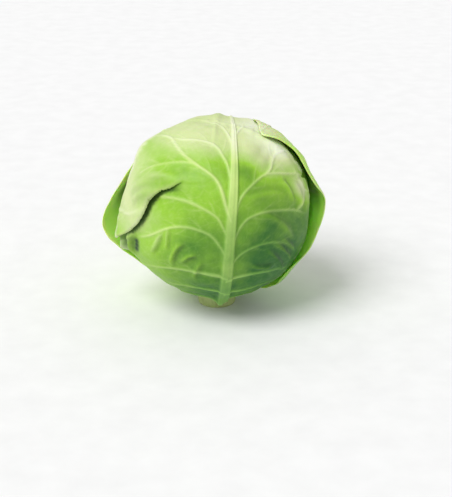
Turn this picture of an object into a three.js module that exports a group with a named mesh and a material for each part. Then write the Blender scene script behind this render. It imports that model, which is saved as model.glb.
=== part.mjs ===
// A head of white cabbage standing on its cut stem. Millimetres, +Z up.
// The origin is the centre of the stem's cut face and the front of the head faces -Y.
// A closed inner head sits on the stem, and wrapper leaves lie round it in layers. Each leaf
// is drawn on a flat plan, with +y from its root to its tip, and the plan is wrapped round
// the head about the leaf's own middle, so a leaf is one thin cupped blade with raised ribs.
import * as THREE from "three";

// Driving dimensions of the head and the stem.
const CENTRE_Z = 87; // height of the head's centre above the cut face
const SIDE_R = 77; // half the width of the closed inner head
const TOP_R = 71; // its height above the centre
const CROWN_POWER = 2.45; // 2 for a round crown, and more for one with fuller shoulders
const BOTTOM_R = 75; // its depth below the centre, if it were round
const FLAT_R = 66; // and where it is flattened round the stem
const STEM_R = 17;
const STEM_TOP_Z = 34; // the stem's end inside the head
const STEM_GAP = 0.6; // between the stem and what grows round it

// Driving dimensions of the leaves.
const PLAN_R = 83; // radius that a leaf's plan is wrapped round
const BLADE = 1.2; // thickness of a blade
const GAP = 0.9; // between one leaf and the next
const CLEARANCE = 0.7; // the least of that gap, over a rib
const ROOT_HALF_ANGLE = 48; // degrees of the stem that a root takes on each side
const RIB_HEIGHT = 3.6; // midrib at the root
const RIB_TIP_HEIGHT = 0.8;
const RIB_HALF_WIDTH = 11; // midrib at the root
const RIB_TIP_HALF_WIDTH = 1.8;
const VEIN_HEIGHT = 1.5; // side rib beside the midrib
const VEIN_TIP_HEIGHT = 0.5;
const LIP_WIDTH = 34; // how far inside its margin a leaf starts to stand off
const COVER_RAMP = 40; // over this much outside a margin, the next leaf comes down again
const HIDDEN_RAMP = 5; // and over this much, the veins of the leaf beneath fade out
const PLEAT_RIM = 1.6; // how much thicker a blade is along the rim of its pleat
const PLEAT_DROP = 0.45; // share of its height that a pleat loses towards the margin

// The leaves from the innermost to the outermost. azimuth and rise place the leaf's middle, in
// degrees round from the front and above the horizon. The blade reaches to `reach` degrees from
// there at even steps round from the tip, clockwise as seen from outside, and stands off by
// `lip` millimetres at its margin. The midrib's line is x = bend[0] + bend[1] y + bend[2] y y.
// Each side rib is [millimetres up the midrib, degrees round from the tip where it meets the margin]
// and, where it doesn't run evenly, the points on the plan that it passes through. A pleat's row
// lies along its line in place of a rib.
const plainRibs = (root, tip, count, lag) =>
  Array.from({ length: count }, (_, i) => {
    const share = (i + 1 + lag) / (count + 1);
    return [root + (tip - root) * share, 165 * (1 - share) ** 1.15];
  });

// The line of the front leaf's pleat, from its start on the blade to beyond the margin.
const PLEAT_LINE = [[-32, 24], [-51, 24], [-66, 15], [-78, -1], [-92, -13], [-126, -33]];

const LEAVES = [
  {
    name: "back_leaf",
    azimuth: 176,
    rise: 16,
    reach: [84, 80, 78, 76, 78, 84, 90, 84, 78, 76, 78, 80],
    lip: [0, 0, 0, 0, 0, 0, 0, 0, 0, 0, 0, 0],
    bend: [0, 0.03, -0.0003],
    right: plainRibs(-134, 118, 8, 0),
    left: plainRibs(-134, 118, 8, 0.4),
  },
  {
    name: "side_leaf",
    azimuth: 66,
    rise: 14,
    reach: [80, 76, 72, 70, 76, 84, 90, 84, 76, 70, 72, 76],
    lip: [0, 0, 0, 0, 0, 0, 0, 0, 0, 0, 0, 0],
    bend: [0, -0.04, 0.0003],
    right: plainRibs(-134, 112, 8, 0.4),
    left: plainRibs(-134, 112, 8, 0),
  },
  {
    name: "front_leaf",
    azimuth: 5,
    rise: 18,
    reach: [
      100, 92, 80, 69, 66, 68, 71, 76, 76, 79, 84, 90,
      94, 92, 88, 86, 86, 87, 88, 84, 78, 80, 85, 93,
    ],
    lip: [0, 0, 0, 0, 0.5, 1, 0.5, 0, 0, 0, 0, 0, 0, 0, 0, 0, 2, 4, 3, 0, 0, 0, 0, 0],
    bend: [6.5, 0.085, 0.0004],
    columns: 14,
    right: [
      [-112, 152],
      [-88, 141],
      [-66, 130],
      [-50, 117, [[11, -42], [24, -34], [45, -30], [66, -34]]],
      [-30, 94, [[12, -15], [27, -4], [48, -1], [72, -3]]],
      [-8, 70, [[17, 14], [32, 26], [50, 31], [70, 31]]],
      [4, 52, [[20, 22], [36, 34], [48, 46], [60, 55]]],
      [36, 38],
      [56, 27, [[19, 74], [30, 88], [42, 96]]],
      [82, 15],
      [108, 6],
    ],
    left: [
      [-112, 152],
      [-86, 138],
      [-63, 126],
      [-43, 116, [[-12, -20], [-35, -13], [-60, -19], [-88, -31]]],
      [-23, 109, [[-11, -1], [-30, 8], [-49, 11], [-62, 4], [-74, -11], [-90, -22]]],
      [-12, 104.6, [[-12, 12], ...PLEAT_LINE.slice(0, -1)]],
      [-4, 64, [[-4, 16], [-15, 31], [-34, 42], [-60, 44]]],
      [4, 40, [[0, 18], [-11, 33], [-30, 49], [-45, 70]]],
      [36, 28, [[2, 52], [-8, 64], [-26, 70]]],
      [72, 12, [[6, 88], [-6, 101]]],
      [108, 5],
    ],
    pleat: {
      row: 6,
      line: PLEAT_LINE,
      height: 6,
      fade: 24,
    },
  },
  {
    name: "left_leaf",
    azimuth: -130,
    rise: 8,
    reach: [
      38, 32, 29, 29, 31, 35, 41, 48, 56, 62, 74, 82,
      84, 84, 82, 80, 80, 78, 76, 74, 70, 62, 52, 45,
    ],
    lip: [0, 0, 0, 0, 0, 2, 8, 13, 5, 1, 0, 0, 0, 0, 0, 0, 0, 0, 0, 0, 0, 0, 0, 0],
    bend: [0, 0.05, 0.0003],
    right: plainRibs(-128, 52, 7, 0),
    left: plainRibs(-128, 52, 7, 0.4),
  },
  {
    name: "right_leaf",
    azimuth: 143,
    rise: 10,
    reach: [
      44, 40, 42, 54, 68, 73, 74, 76, 78, 80, 82, 84,
      86, 85, 86, 88, 86, 71, 58, 65, 67, 68.5, 79, 56,
    ],
    lip: [0, 0, 0, 0, 0, 0, 0, 0, 0, 0, 0, 0, 0, 0, 0, 0, 1.5, 8, 11, 3, 2.5, 2, 1, 0.2],
    bend: [0, -0.05, 0.0002],
    right: plainRibs(-130, 40, 8, 0.4),
    left: plainRibs(-130, 40, 8, 0),
  },
];

const radians = THREE.MathUtils.degToRad;
const smoothstep = THREE.MathUtils.smoothstep;
const lerp = THREE.MathUtils.lerp;
const UP = new THREE.Vector3(0, 0, 1);

// The three axes of a leaf's plan: out from the head at the leaf's middle, to the right of its
// midrib as seen from outside, and up along the midrib.
function axesOf(leaf) {
  const turn = radians(leaf.azimuth);
  const rise = radians(leaf.rise);
  const out = new THREE.Vector3(
    Math.sin(turn) * Math.cos(rise),
    -Math.cos(turn) * Math.cos(rise),
    Math.sin(rise),
  );
  const right = new THREE.Vector3(Math.cos(turn), Math.sin(turn), 0);
  return { out, right, up: out.clone().cross(right) };
}
for (const leaf of LEAVES) leaf.axes = axesOf(leaf);

// The direction from the head's centre of a point on a leaf's plan.
function directionOf(leaf, x, y) {
  const { out, right, up } = leaf.axes;
  const angle = Math.hypot(x, y) / PLAN_R;
  const round = Math.atan2(x, y);
  return new THREE.Vector3()
    .addScaledVector(out, Math.cos(angle))
    .addScaledVector(right, Math.sin(angle) * Math.sin(round))
    .addScaledVector(up, Math.sin(angle) * Math.cos(round));
}

// The point on a leaf's plan that a direction meets.
function planOf(leaf, direction) {
  const { out, right, up } = leaf.axes;
  const far = PLAN_R * Math.acos(THREE.MathUtils.clamp(direction.dot(out), -1, 1));
  const round = Math.atan2(direction.dot(right), direction.dot(up));
  return { x: far * Math.sin(round), y: far * Math.cos(round) };
}

// Values at even steps of a full turn, joined by a smooth closed curve.
function atRound(values, degrees) {
  const count = values.length;
  const at = ((((degrees / 360) * count) % count) + count) % count;
  const i = Math.floor(at);
  const t = at - i;
  const [a, b, c, d] = [-1, 0, 1, 2].map((n) => values[(i + n + count) % count]);
  return (
    b +
    0.5 * t * (c - a + t * (2 * a - 5 * b + 4 * c - d + t * (3 * (b - c) + d - a)))
  );
}

// The closed inner head: rounder below than above, with broad shallow swellings.
function headRadius(d) {
  const [height, power] = d.z > 0 ? [TOP_R, CROWN_POWER] : [BOTTOM_R, 2];
  const flat = (Math.hypot(d.x, d.y) / SIDE_R) ** power;
  const round = (flat + (Math.abs(d.z) / height) ** power) ** (-1 / power);
  const radius = (round ** -16 + (Math.max(0, -d.z) / FLAT_R) ** 16) ** (-1 / 16);
  const swell =
    0.9 * Math.sin(3.1 * d.y - 2.2 * d.x + 0.6) + 0.6 * Math.sin(5.1 * d.z + 2.3 * d.x + 4.8);
  return radius + swell;
}

// How far inside a leaf's margin a plan point lies, in millimetres, and less than 0 outside.
function insideOf(leaf, { x, y }) {
  const degrees = THREE.MathUtils.radToDeg(Math.atan2(x, y));
  return radians(atRound(leaf.reach, degrees)) * PLAN_R - Math.hypot(x, y);
}

// Where the midrib runs at a height on the plan, and how far up the leaf that is, from 0 to 1.
const midribX = (leaf, y) => leaf.bend[0] + leaf.bend[1] * y + leaf.bend[2] * y * y;
const rootTilt = (leaf) =>
  Math.atan((STEM_R + STEM_GAP + 0.8) / (FLAT_R + LEAVES.indexOf(leaf) * (BLADE + GAP)));
const rootY = (leaf) => (rootTilt(leaf) - radians(90 + leaf.rise)) * PLAN_R;
const tipY = (leaf) => radians(leaf.reach[0]) * PLAN_R;
const shareUp = (leaf, y) =>
  THREE.MathUtils.clamp((y - rootY(leaf)) / (tipY(leaf) - rootY(leaf)), 0, 1);
const ribHeight = (share) => lerp(RIB_HEIGHT, RIB_TIP_HEIGHT, share ** 0.7);
const ribHalfWidth = (share) => lerp(RIB_HALF_WIDTH, RIB_TIP_HALF_WIDTH, share ** 0.7);

// Height of the midrib's swelling near a plan point, wide enough for the next leaf to pass over.
function ribSwell(leaf, { x, y }) {
  const share = shareUp(leaf, y);
  const off = (x - midribX(leaf, y)) / (1.7 * ribHalfWidth(share));
  return 1.15 * ribHeight(share) * Math.exp(-off * off);
}

// A pleat's rise above the blade: full on its upper side at the line, fading with distance.
function pleatRise(leaf, { x, y }, bothSides) {
  if (!leaf.pleat) return 0;
  const { line, height, fade } = leaf.pleat;
  leaf.pleat.curve ??= new THREE.SplineCurve(
    line.map(([px, py]) => new THREE.Vector2(px, py)),
  ).getPoints(16);
  const { curve } = leaf.pleat;
  let best = Infinity;
  let above = false;
  let along = 0;
  for (let i = 0; i + 1 < curve.length; i++) {
    const [dx, dy] = [curve[i + 1].x - curve[i].x, curve[i + 1].y - curve[i].y];
    const [px, py] = [x - curve[i].x, y - curve[i].y];
    const t = THREE.MathUtils.clamp((px * dx + py * dy) / (dx * dx + dy * dy), 0, 1);
    const far = Math.hypot(px - t * dx, py - t * dy);
    if (far >= best) continue;
    best = far;
    above = px * dy - py * dx > -Math.hypot(dx, dy);
    along = (i + t) / (curve.length - 1);
  }
  if (!above && !bothSides) return 0;
  const ends = smoothstep(along, 0, 0.45) * (1 - PLEAT_DROP * smoothstep(along, 0.7, 1));
  return height * ends * Math.exp(-best / fade);
}

// How far a leaf stands off what it lies on.
function standOff(leaf, point, bothSides = false) {
  const degrees = THREE.MathUtils.radToDeg(Math.atan2(point.x, point.y));
  const nearMargin = 1 - smoothstep(insideOf(leaf, point), 0, LIP_WIDTH);
  const lip = Math.max(0, atRound(leaf.lip, degrees)) * nearMargin ** 1.5;
  return lip + pleatRise(leaf, point, bothSides);
}

// From 0 to 1, how much of a leaf lies at a direction. Round the stem all the leaves do.
function coverOf(leaf, direction, ramp) {
  const round = smoothstep(-direction.z, 0.75, 0.9);
  return Math.max(round, smoothstep(insideOf(leaf, planOf(leaf, direction)), -ramp, 0));
}

// The radius of what leaf number n lies on: the inner head and each leaf beneath it.
function bedRadius(n, direction) {
  let radius = headRadius(direction);
  for (const under of LEAVES.slice(0, n)) {
    const point = planOf(under, direction);
    const thick = BLADE + GAP + ribSwell(under, point) + standOff(under, point, true);
    radius += coverOf(under, direction, COVER_RAMP) * thick;
  }
  return radius;
}

// How much of a direction the leaves outside number n hide, from 0 to 1.
const hiddenShare = (n, direction) =>
  Math.max(0, ...LEAVES.slice(n + 1).map((leaf) => coverOf(leaf, direction, HIDDEN_RAMP)));

// A point on the margin: the tip at 0 degrees, the root's corner at 180, on the side given.
function marginCurve(leaf, side) {
  const points = Array.from({ length: 12 }, (_, i) => {
    const far = radians(atRound(leaf.reach, side * 15 * i)) * PLAN_R;
    const round = radians(side * 15 * i);
    return new THREE.Vector2(far * Math.sin(round), far * Math.cos(round));
  });
  points[0].x = midribX(leaf, tipY(leaf));
  points.push(rootPoint(leaf, side * ROOT_HALF_ANGLE, 1));
  return new THREE.SplineCurve(points);
}

// A plan point beside the stem, some degrees round it from the leaf's midrib.
function rootPoint(leaf, degrees, spread) {
  const turn = radians(leaf.azimuth + degrees);
  const tilt = rootTilt(leaf) * spread;
  const { x, y } = planOf(
    leaf,
    new THREE.Vector3(
      Math.sin(turn) * Math.sin(tilt),
      -Math.cos(turn) * Math.sin(tilt),
      -Math.cos(tilt),
    ),
  );
  return new THREE.Vector2(x, y);
}

// Row k of one half of a leaf, a curve from the midrib to the margin. Row 0 is the root, the row
// after the last rib is the tip, and side rib k lies along row k.
function rowCurve(leaf, side, k) {
  const ribs = side > 0 ? leaf.right : leaf.left;
  const rows = [[rootY(leaf), 180], ...ribs, [tipY(leaf), 0]];
  const [startY, degrees, through] = rows[k];
  const from = new THREE.Vector2(midribX(leaf, startY), startY);
  const margin = side > 0 ? leaf.rightMargin : leaf.leftMargin;
  const to = margin.getPoint(degrees / 180);
  if (through) {
    const between = through.map(([x, y]) => new THREE.Vector2(x, y));
    return new THREE.SplineCurve([from, ...between, to]);
  }
  const chord = to.clone().sub(from);
  const bowed = chord.clone().rotateAround(new THREE.Vector2(), radians(22) * side);
  const via = from.clone().addScaledVector(bowed, 0.45);
  if (k === 0) via.copy(rootPoint(leaf, side * ROOT_HALF_ANGLE * 0.5, 1.1));
  return new THREE.QuadraticBezierCurve(from, via, to);
}

// Points between two neighbouring rows, the share k of the way from the first to the second.
function betweenRows(first, second, k) {
  const length = lerp(first.getLength(), second.getLength(), k);
  const startY = lerp(first.getPoint(0).y, second.getPoint(0).y, k);
  const on = (curve, a) => (curve.getLength() > 1 ? curve.getPointAt(a) : curve.getPoint(a));
  return { length, startY, pointAt: (a) => on(first, a).lerp(on(second, a), k) };
}

// One leaf as a closed blade: rows from the root to the tip, columns from margin to margin.
const COLUMNS = 9; // from the midrib to a margin, on most leaves
const RIB_FLANK = 0.2; // of the way from one side rib to the next
function leafGeometry(n) {
  const leaf = LEAVES[n];
  const columnCount = leaf.columns ?? COLUMNS;
  leaf.rightMargin = marginCurve(leaf, 1);
  leaf.leftMargin = marginCurve(leaf, -1);
  const rows = [0, 0.5];
  leaf.right.forEach((_, i) => {
    rows.push(i + 1 - RIB_FLANK, i + 1, i + 1 + RIB_FLANK);
    if (leaf.pleat) rows.push(i + 1.5);
  });
  const curves = [-1, 1].map((side) =>
    Array.from({ length: leaf.right.length + 2 }, (_, k) => rowCurve(leaf, side, k)),
  );
  const points = [];
  const addPoint = ({ x, y }, relief) => {
    const direction = directionOf(leaf, x, y);
    const radius = bedRadius(n, direction) + standOff(leaf, { x, y });
    const vein = relief.vein * (1 - hiddenShare(n, direction));
    return points.push({ direction, radius, thick: BLADE + relief.rib + vein }) - 1;
  };
  const grid = rows.map((k) => {
    const onRib = Number.isInteger(k) && k > 0;
    const columns = [];
    for (let c = -columnCount; c <= columnCount; c++) {
      const i = Math.floor(k);
      const [first, second] = curves[c < 0 ? 0 : 1].slice(i, i + 2);
      const row = betweenRows(first, second, k - i);
      const share = shareUp(leaf, row.startY);
      const flank = Math.min(0.5, ribHalfWidth(share) / row.length);
      const from = Math.abs(c);
      const a = from < 2 ? (from * flank) / 2 : lerp(flank, 1, (from - 2) / (columnCount - 2));
      const onPleat = c < 0 && k === leaf.pleat?.row;
      const vein = onPleat
        ? PLEAT_RIM * smoothstep(a, 0.25, 0.5)
        : lerp(VEIN_HEIGHT, VEIN_TIP_HEIGHT, a) * smoothstep(1 - a, 0, 0.1);
      columns.push(
        addPoint(row.pointAt(a), {
          rib: ribHeight(share) * [1, 0.75, 0][Math.min(from, 2)],
          vein: onRib ? vein : 0,
        }),
      );
    }
    return columns;
  });
  const tip = addPoint({ x: midribX(leaf, tipY(leaf)), y: tipY(leaf) }, { rib: 0, vein: 0 });

  const faces = [];
  for (let r = 0; r < grid.length; r++)
    for (let c = 0; c < 2 * columnCount; c++) {
      const [a, b] = [grid[r][c], grid[r][c + 1]];
      if (r === grid.length - 1) {
        faces.push([a, b, tip]);
        continue;
      }
      const [d, e] = [grid[r + 1][c], grid[r + 1][c + 1]];
      if (c < columnCount) faces.push([a, b, e], [a, e, d]);
      else faces.push([a, b, d], [b, e, d]);
    }
  settle(points, faces);
  const sheet = (radiusOf) =>
    points.map((p) => p.direction.clone().multiplyScalar(radiusOf(p)).setZ(
      p.direction.z * radiusOf(p) + CENTRE_Z,
    ));
  return closedBlade(sheet((p) => p.radius + p.thick), sheet((p) => p.radius), faces);
}

// The outward faces of the pieces built so far, each kept as a cone from the head's centre: the
// planes through its edges, its middle's direction, and its corners and edges' middles.
const built = [];
function coneOf(a, b, c) {
  const planes = [b.clone().cross(c), c.clone().cross(a), a.clone().cross(b)];
  return { planes, volume: a.dot(planes[0]) };
}
function keepBuilt(geometry) {
  const { index } = geometry;
  const corner = (i) => {
    const at = new THREE.Vector3().fromBufferAttribute(geometry.attributes.position, index.getX(i));
    return at.setZ(at.z - CENTRE_Z);
  };
  for (let i = 0; i < index.count; i += 3) {
    const corners = [corner(i), corner(i + 1), corner(i + 2)];
    const [a, b, c] = corners;
    const cone = coneOf(a, b, c);
    if (cone.volume <= 0) continue;
    const middle = a.clone().add(b).add(c).normalize();
    const edges = [[a, b], [b, c], [c, a]].map(([p, q]) => p.clone().lerp(q, 0.5));
    const spots = [...corners, ...edges].map((at) => {
      const radius = at.length();
      return { direction: at.divideScalar(radius), radius };
    });
    built.push({ ...cone, middle, spots });
  }
}

// How far from the head's centre some of those faces reach in a direction, 0 where none does.
function reachOf(cones, direction) {
  let radius = 0;
  for (const { planes, volume } of cones) {
    const u = planes[0].dot(direction);
    if (u < 0) continue;
    const v = planes[1].dot(direction);
    if (v < 0) continue;
    const w = planes[2].dot(direction);
    if (w >= 0) radius = Math.max(radius, volume / (u + v + w));
  }
  return radius;
}

// Lifts the corners of a blade's inner faces until they clear the pieces built before.
const SPLITS = 5;
const NEAR = Math.cos(radians(22));
function settle(points, faces) {
  for (const face of faces) {
    const corners = face.map((i) => points[i]);
    const middle = new THREE.Vector3();
    for (const p of corners) middle.add(p.direction);
    middle.normalize();
    const near = built.filter((cone) => cone.middle.dot(middle) > NEAR);
    const cone = () =>
      coneOf(...corners.map((p) => p.direction.clone().multiplyScalar(p.radius)));
    let own = cone();
    const clear = (direction, radius) => {
      const reached = reachOf([own], direction);
      const short = radius + CLEARANCE - reached;
      if (reached === 0 || short <= 0) return;
      for (const p of corners) p.radius += short;
      own = cone();
    };
    for (let i = 0; i <= SPLITS; i++)
      for (let j = 0; i + j <= SPLITS; j++) {
        const direction = new THREE.Vector3();
        [i, j, SPLITS - i - j].forEach((share, k) =>
          direction.addScaledVector(corners[k].direction, share + 1e-4),
        );
        direction.normalize();
        clear(direction, reachOf(near, direction));
      }
    for (const { spots } of near)
      for (const { direction, radius } of spots)
        clear(direction, radius);
  }
}

// A closed solid between an outer and an inner sheet of points that share their faces.
function closedBlade(outer, inner, faces) {
  const shift = outer.length;
  const edges = new Set(faces.flatMap(([a, b, c]) => [`${a},${b}`, `${b},${c}`, `${c},${a}`]));
  const index = [];
  for (const [a, b, c] of faces) {
    index.push(a, b, c, a + shift, c + shift, b + shift);
    for (const [p, q] of [[a, b], [b, c], [c, a]])
      if (!edges.has(`${q},${p}`)) index.push(q, p, p + shift, q, p + shift, q + shift);
  }
  const geometry = new THREE.BufferGeometry().setFromPoints([...outer, ...inner]);
  geometry.setIndex(index);
  geometry.computeVertexNormals();
  return geometry;
}

// The inner head, closed round a pocket for the stem. Shallow steps mark its own leaves' margins.
const HEAD_ROWS = 18;
const HEAD_COLUMNS = 36;
const HEAD_STEPS = [
  { normal: [0.8, 0.5, 0.33], level: 0.1 },
  { normal: [-0.75, 0.55, 0.37], level: 0.15 },
  { normal: [0.1, -0.9, 0.42], level: 0.2 },
];
function headGeometry() {
  const points = [];
  const pocketR = STEM_R + STEM_GAP;
  const bottomTilt = Math.atan(pocketR / FLAT_R);
  const ring = (place) =>
    Array.from({ length: HEAD_COLUMNS }, (_, i) => {
      points.push(place((2 * Math.PI * i) / HEAD_COLUMNS));
      return points.length - 1;
    });
  const pole = points.push(new THREE.Vector3(0, 0, CENTRE_Z + headRadius(UP) - 1)) - 1;
  const rings = Array.from({ length: HEAD_ROWS }, (_, i) => {
    const tilt = ((i + 1) / HEAD_ROWS) * (Math.PI - bottomTilt);
    return ring((turn) => {
      const d = new THREE.Vector3(
        Math.sin(tilt) * Math.cos(turn),
        Math.sin(tilt) * Math.sin(turn),
        Math.cos(tilt),
      );
      const sunk = HEAD_STEPS.reduce((sum, { normal, level }) => {
        const above = d.dot(new THREE.Vector3(...normal).normalize()) - level;
        return sum + 0.8 * smoothstep(-above, -0.03, 0.03);
      }, 0.4);
      const last = i === HEAD_ROWS - 1;
      const radius = last ? pocketR / Math.sin(tilt) : headRadius(d) - sunk;
      return d.multiplyScalar(radius).add(new THREE.Vector3(0, 0, CENTRE_Z));
    });
  });
  const pocketZ = STEM_TOP_Z + STEM_GAP;
  rings.push(
    ring((turn) => new THREE.Vector3(pocketR * Math.cos(turn), pocketR * Math.sin(turn), pocketZ)),
  );
  const floor = points.push(new THREE.Vector3(0, 0, pocketZ)) - 1;
  const index = [];
  for (let i = 0; i < HEAD_COLUMNS; i++) {
    const j = (i + 1) % HEAD_COLUMNS;
    index.push(pole, rings[0][i], rings[0][j]);
    for (let r = 0; r + 1 < rings.length; r++) {
      const [a, b, c, d] = [rings[r][i], rings[r][j], rings[r + 1][i], rings[r + 1][j]];
      index.push(a, c, b, b, c, d);
    }
    index.push(floor, rings.at(-1)[j], rings.at(-1)[i]);
  }
  const geometry = new THREE.BufferGeometry().setFromPoints(points);
  geometry.setIndex(index);
  geometry.computeVertexNormals();
  return geometry;
}

// The stem's stump: a flat cut face below, a slight waist, and an end inside the head.
function stemGeometry() {
  const profile = [
    [0, 0],
    [STEM_R - 1.2, 0],
    [STEM_R - 0.3, 0.8],
    [STEM_R - 0.6, 4],
    [STEM_R, 8],
    [STEM_R, STEM_TOP_Z - 3],
    [STEM_R - 3, STEM_TOP_Z],
    [0, STEM_TOP_Z],
  ].map(([r, z]) => new THREE.Vector2(r, z));
  return new THREE.LatheGeometry(profile, 28).rotateX(Math.PI / 2);
}

const material = (color) => new THREE.MeshStandardMaterial({ color, roughness: 0.5, metalness: 0 });
const leafGreen = material(0x8cbf45);
const paleGreen = material(0xc4dc8c);
const stemCream = material(0xe6ebc4);

const cabbage = new THREE.Group();
function addPiece(name, geometry, finish) {
  keepBuilt(geometry);
  const mesh = new THREE.Mesh(geometry, finish);
  mesh.name = name;
  cabbage.add(mesh);
}
addPiece("stem", stemGeometry(), stemCream);
addPiece("inner_head", headGeometry(), paleGreen);
LEAVES.forEach((leaf, n) => addPiece(leaf.name, leafGeometry(n), leafGreen));

export default cabbage;
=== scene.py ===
import math

import bpy
import numpy as np
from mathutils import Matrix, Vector


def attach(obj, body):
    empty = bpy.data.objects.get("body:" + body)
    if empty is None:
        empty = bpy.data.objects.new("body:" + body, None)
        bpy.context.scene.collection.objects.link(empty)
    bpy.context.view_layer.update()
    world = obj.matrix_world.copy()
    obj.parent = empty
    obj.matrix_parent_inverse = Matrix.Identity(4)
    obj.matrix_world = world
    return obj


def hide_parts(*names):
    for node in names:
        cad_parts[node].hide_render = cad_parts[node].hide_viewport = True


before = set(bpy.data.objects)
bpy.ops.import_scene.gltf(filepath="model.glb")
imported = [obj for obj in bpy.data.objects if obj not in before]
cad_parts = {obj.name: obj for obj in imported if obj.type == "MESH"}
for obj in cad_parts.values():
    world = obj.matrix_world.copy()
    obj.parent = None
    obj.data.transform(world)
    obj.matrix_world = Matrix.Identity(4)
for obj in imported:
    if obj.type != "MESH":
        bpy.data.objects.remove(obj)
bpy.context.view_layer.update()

# The head and the stem: heights and radii.
CENTRE_Z = 87
SIDE_R = 77
TOP_R = 71
CROWN_POWER = 2.45
BOTTOM_R = 75
FLAT_R = 66
STEM_R = 17
STEM_TOP_Z = 34
STEM_GAP = 0.6

# The leaves.
PLAN_R = 83  # radius that a leaf's plan is wrapped round
BLADE = 1.2
GAP = 0.9
ROOT_HALF_ANGLE = 48  # degrees of the stem that a root takes on each side
RIB_HEIGHT = 3.6  # midrib at its root
RIB_TIP_HEIGHT = 0.8
RIB_HALF_WIDTH = 11
RIB_TIP_HALF_WIDTH = 1.8
VEIN_HEIGHT = 1.5  # side vein beside the midrib
VEIN_TIP_HEIGHT = 0.5
VEIN_WIDTH = 1.7
VEIN_TIP_WIDTH = 0.9
LIP_WIDTH = 34  # how far inside its margin a leaf starts to stand off
COVER_RAMP = 40  # over this much outside a margin, the next leaf comes down again
HIDDEN_RAMP = 5  # and over this much, the relief of the leaf beneath fades out
PLEAT_DROP = 0.45  # share of its height that a pleat loses towards the margin

# The relief of a blade.
LEAST_THICK = 0.5
MARGIN_THIN = 0.45  # share of its thickness that a blade loses at its margin
QUILT_HEIGHT = 0.85  # how far a blade bulges between its veins
QUILT_SUNK = 0.35  # and how much of that it lies lower beside them
QUILT_REACH = 9  # how far from a vein it has risen most of the way
CELL = 8.5  # from one small vein of the net to the next
CELL_HEIGHT = 0.14
FINE_CELL = 3.6
SWELLS = ((0.6, 34), (0.2, 15))  # height and width of the broad and the smaller swells
RUFFLE = 1.1  # height of the waves along a margin
RUFFLE_WIDTH = 16
PAINTED_CREST_HIGHLIGHT = 0.09  # painted highlight: how much paler a crease's crest is for each millimetre of its height
CREASE_SHADE = 0.18  # and how much darker its hollow
LUMP_SHADE = 0.4  # how dark a lump's hollow is for each millimetre of its depth


def smoothstep(x, low, high):
    t = np.clip((x - low) / (high - low), 0, 1)
    return t * t * (3 - 2 * t)


def lerp(a, b, t):
    return a + (b - a) * t


def wave(t, seed, count=4, low=1.0, high=3.0):
    """A smooth random curve of about unit height, at `low` to `high` radians per unit of t."""
    rng = np.random.default_rng(seed)
    speeds = rng.uniform(low, high, count)
    starts = rng.uniform(0, 2 * np.pi, count)
    return sum(np.sin(t * s + p) for s, p in zip(speeds, starts)) / math.sqrt(count)


def field(points, seed, size, count=10):
    """A smooth random field of about unit height over points, with lumps about `size` apart."""
    rng = np.random.default_rng(seed)
    total = 0
    for _ in range(count):
        way = rng.normal(size=points.shape[-1])
        way *= 2 * np.pi / size / np.linalg.norm(way) * rng.uniform(0.7, 1.3)
        total = total + np.sin(points @ way + rng.uniform(0, 2 * np.pi))
    return total / math.sqrt(count)


def at_round(values, degrees):
    """Values at even steps of a full turn, joined by a smooth closed curve."""
    values = np.asarray(values, float)
    at = np.asarray(degrees) / 360 * len(values) % len(values)
    i = np.floor(at).astype(int)
    t = at - i
    a, b, c, d = (values[(i + n) % len(values)] for n in (-1, 0, 1, 2))
    return b + 0.5 * t * (c - a + t * (2 * a - 5 * b + 4 * c - d + t * (3 * (b - c) + d - a)))


def spline(points, t):
    """An open smooth curve through points, with t from 0 to 1 in even steps from point to point."""
    points = np.asarray(points, float)
    last = len(points) - 1
    at = np.clip(np.asarray(t, float), 0, 1) * last
    i = np.minimum(np.floor(at).astype(int), last - 1)
    u = (at - i)[..., None]
    a, b, c, d = (points[np.clip(i + n, 0, last)] for n in (-1, 0, 1, 2))
    return b + 0.5 * u * (c - a + u * (2 * a - 5 * b + 4 * c - d + u * (3 * (b - c) + d - a)))


def near_line(line, x, y):
    """Distance to a line of points, how far along it that is from 0 to 1, and the side."""
    best = np.full(x.shape, np.inf)
    along = np.zeros(x.shape)
    above = np.zeros(x.shape, bool)
    for i, ((ax, ay), (bx, by)) in enumerate(zip(line[:-1], line[1:])):
        dx, dy = bx - ax, by - ay
        px, py = x - ax, y - ay
        t = np.clip((px * dx + py * dy) / (dx * dx + dy * dy), 0, 1)
        far = np.hypot(px - t * dx, py - t * dy)
        nearer = far < best
        best = np.where(nearer, far, best)
        along = np.where(nearer, (i + t) / (len(line) - 1), along)
        above = np.where(nearer, px * dy - py * dx > 0, above)
    return best, along, above


def net(x, y, cell, seed):
    """0 on the walls of an uneven net of cells, rising to about 1 in their middles."""

    def dice(i, j, n):
        value = np.sin(i * 127.1 + j * 311.7 + n * 74.7) * 43758.5453
        return value - np.floor(value)

    gx, gy = x / cell, y / cell
    ix, iy = np.floor(gx), np.floor(gy)
    fars = []
    for i in (-1, 0, 1):
        for j in (-1, 0, 1):
            cx, cy = ix + i, iy + j
            fars.append(np.hypot(cx + dice(cx, cy, seed) - gx, cy + dice(cx, cy, seed + 1) - gy))
    fars = np.sort(np.stack(fars), axis=0)
    return np.clip((fars[1] - fars[0]) * 1.5, 0, 1)


def head_radius(d):
    above = d[..., 2] > 0
    height, power = np.where(above, TOP_R, BOTTOM_R), np.where(above, CROWN_POWER, 2)
    flat = (np.hypot(d[..., 0], d[..., 1]) / SIDE_R) ** power
    radius = (flat + (np.abs(d[..., 2]) / height) ** power) ** (-1 / power)
    radius = (radius**-16 + (np.maximum(0, -d[..., 2]) / FLAT_R) ** 16) ** (-1 / 16)
    swell = 0.9 * np.sin(3.1 * d[..., 1] - 2.2 * d[..., 0] + 0.6)
    return radius + swell + 0.6 * np.sin(5.1 * d[..., 2] + 2.3 * d[..., 0] + 4.8)


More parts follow.
